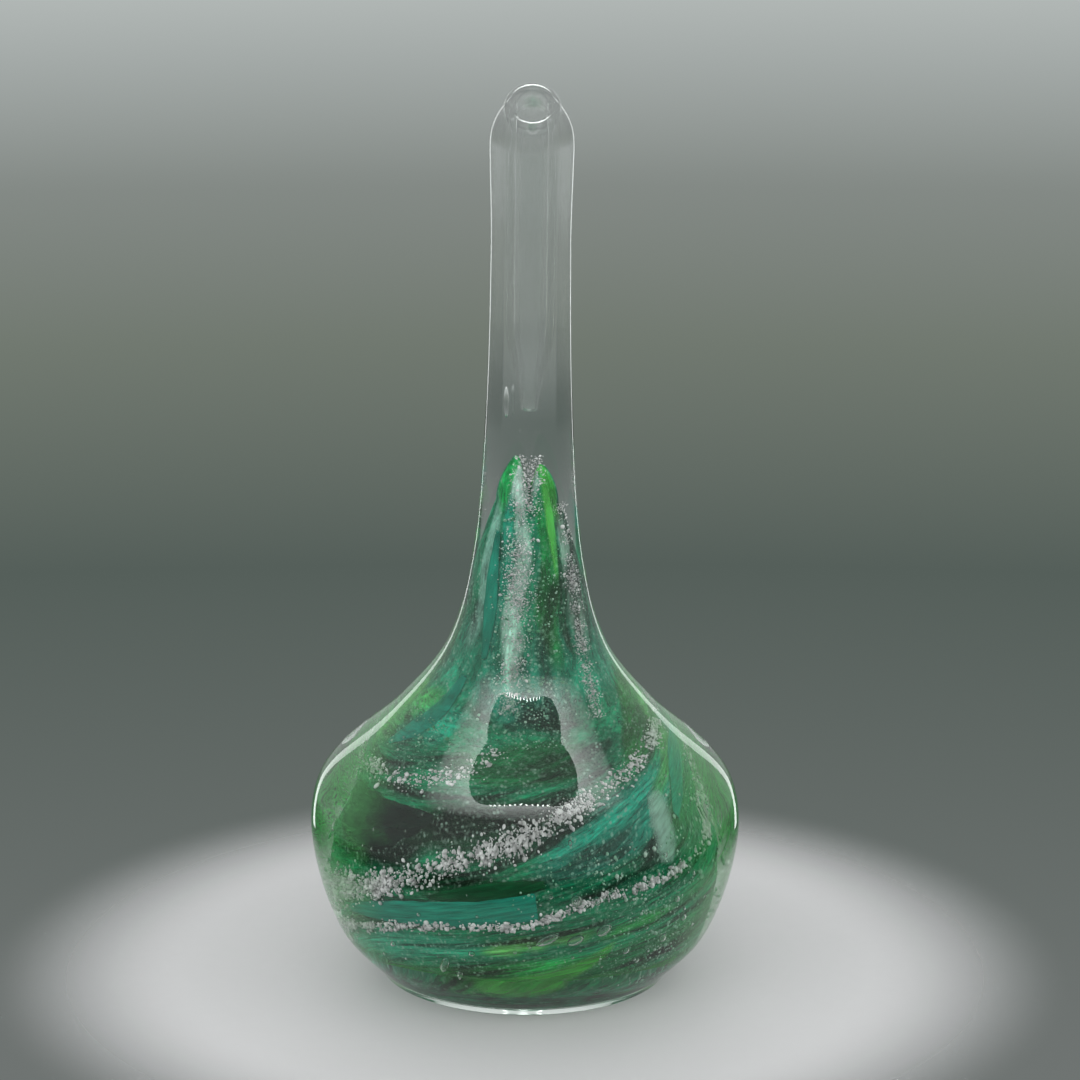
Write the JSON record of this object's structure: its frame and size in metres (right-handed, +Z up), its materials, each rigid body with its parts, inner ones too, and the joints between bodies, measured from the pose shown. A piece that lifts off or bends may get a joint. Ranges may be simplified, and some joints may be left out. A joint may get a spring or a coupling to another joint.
{
  "type": "hand blown glass bud vase",
  "caption": "Hand blown bud vase: a spiralled green and white glass core cased in thick clear glass, with a long clear neck, a narrow blind bore and a mouth tilted forward.",
  "frame": {"origin": "centre of the body on the plane of the ground foot", "axes": "+Z up along the vase, -Y towards the front, which is the side the mouth is tilted to, +X to the right"},
  "size_m": [0.0854, 0.0854, 0.18],
  "materials": {
    "clear_glass": "fire-polished clear glass",
    "heart_glass": "deep green tinted glass",
    "emerald_glass": "streaky transparent emerald glass",
    "white_frit": "bubbly white frit",
    "teal_glass": "transparent teal glass",
    "aqua_glass": "pale aqua glass",
    "leaf_green_glass": "bright leaf green glass"
  },
  "bodies": {
    "root": {"clear_casing": "clear_glass", "first_gather": "heart_glass", "emerald_coat": "emerald_glass", "frit_trail_main": "white_frit", "frit_trail_low": "white_frit", "frit_trail_shoulder": "white_frit", "frit_neck_front": "white_frit", "frit_neck_side": "white_frit", "teal_streak_low": "teal_glass", "teal_streak_right": "teal_glass", "teal_streak_left": "teal_glass", "teal_streak_neck": "teal_glass", "aqua_streak": "aqua_glass", "leaf_streak_foot": "leaf_green_glass", "leaf_streak_left": "leaf_green_glass", "leaf_streak_neck": "leaf_green_glass"}
  },
  "joints": []
}
